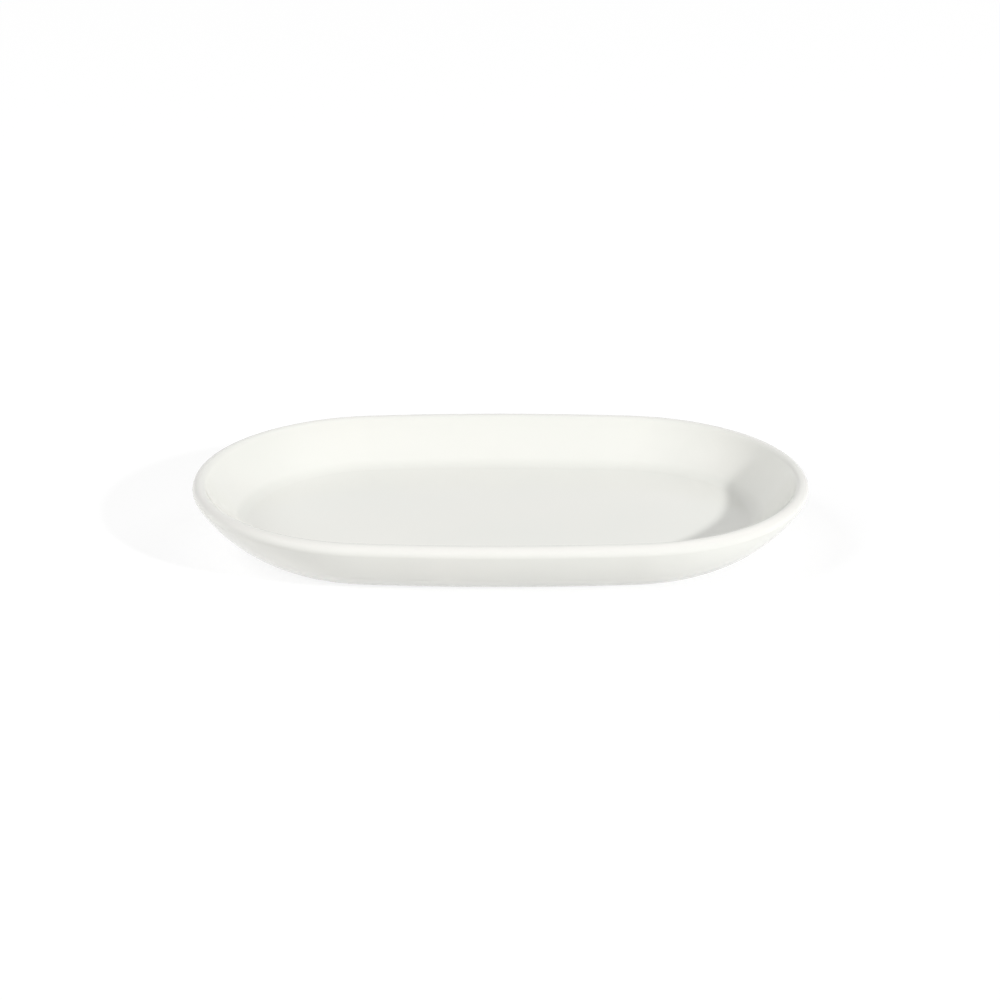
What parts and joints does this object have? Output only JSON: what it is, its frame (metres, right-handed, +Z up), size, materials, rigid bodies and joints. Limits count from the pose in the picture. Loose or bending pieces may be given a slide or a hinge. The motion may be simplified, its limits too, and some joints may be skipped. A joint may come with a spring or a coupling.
{
  "type": "oval plate",
  "caption": "Oval coupe plate in glazed white porcelain, with a flat floor, a flared wall with a rounded lip and a low bare-edged foot ring, for serving food.",
  "frame": {"origin": "on the table plane under the plate's middle, in the plane of the foot ring's bearing edge", "axes": "+X along the plate's length, +Y across it, +Z up out of the dish"},
  "size_m": [0.24, 0.15, 0.025],
  "materials": {
    "bare_porcelain": "bare fired porcelain, fine matte grain",
    "dish_glaze": "glossy off-white glaze",
    "underside_glaze": "glossy off-white glaze"
  },
  "bodies": {
    "root": {"porcelain_body": "bare_porcelain", "dish_glaze": "dish_glaze", "underside_glaze": "underside_glaze"}
  },
  "joints": []
}
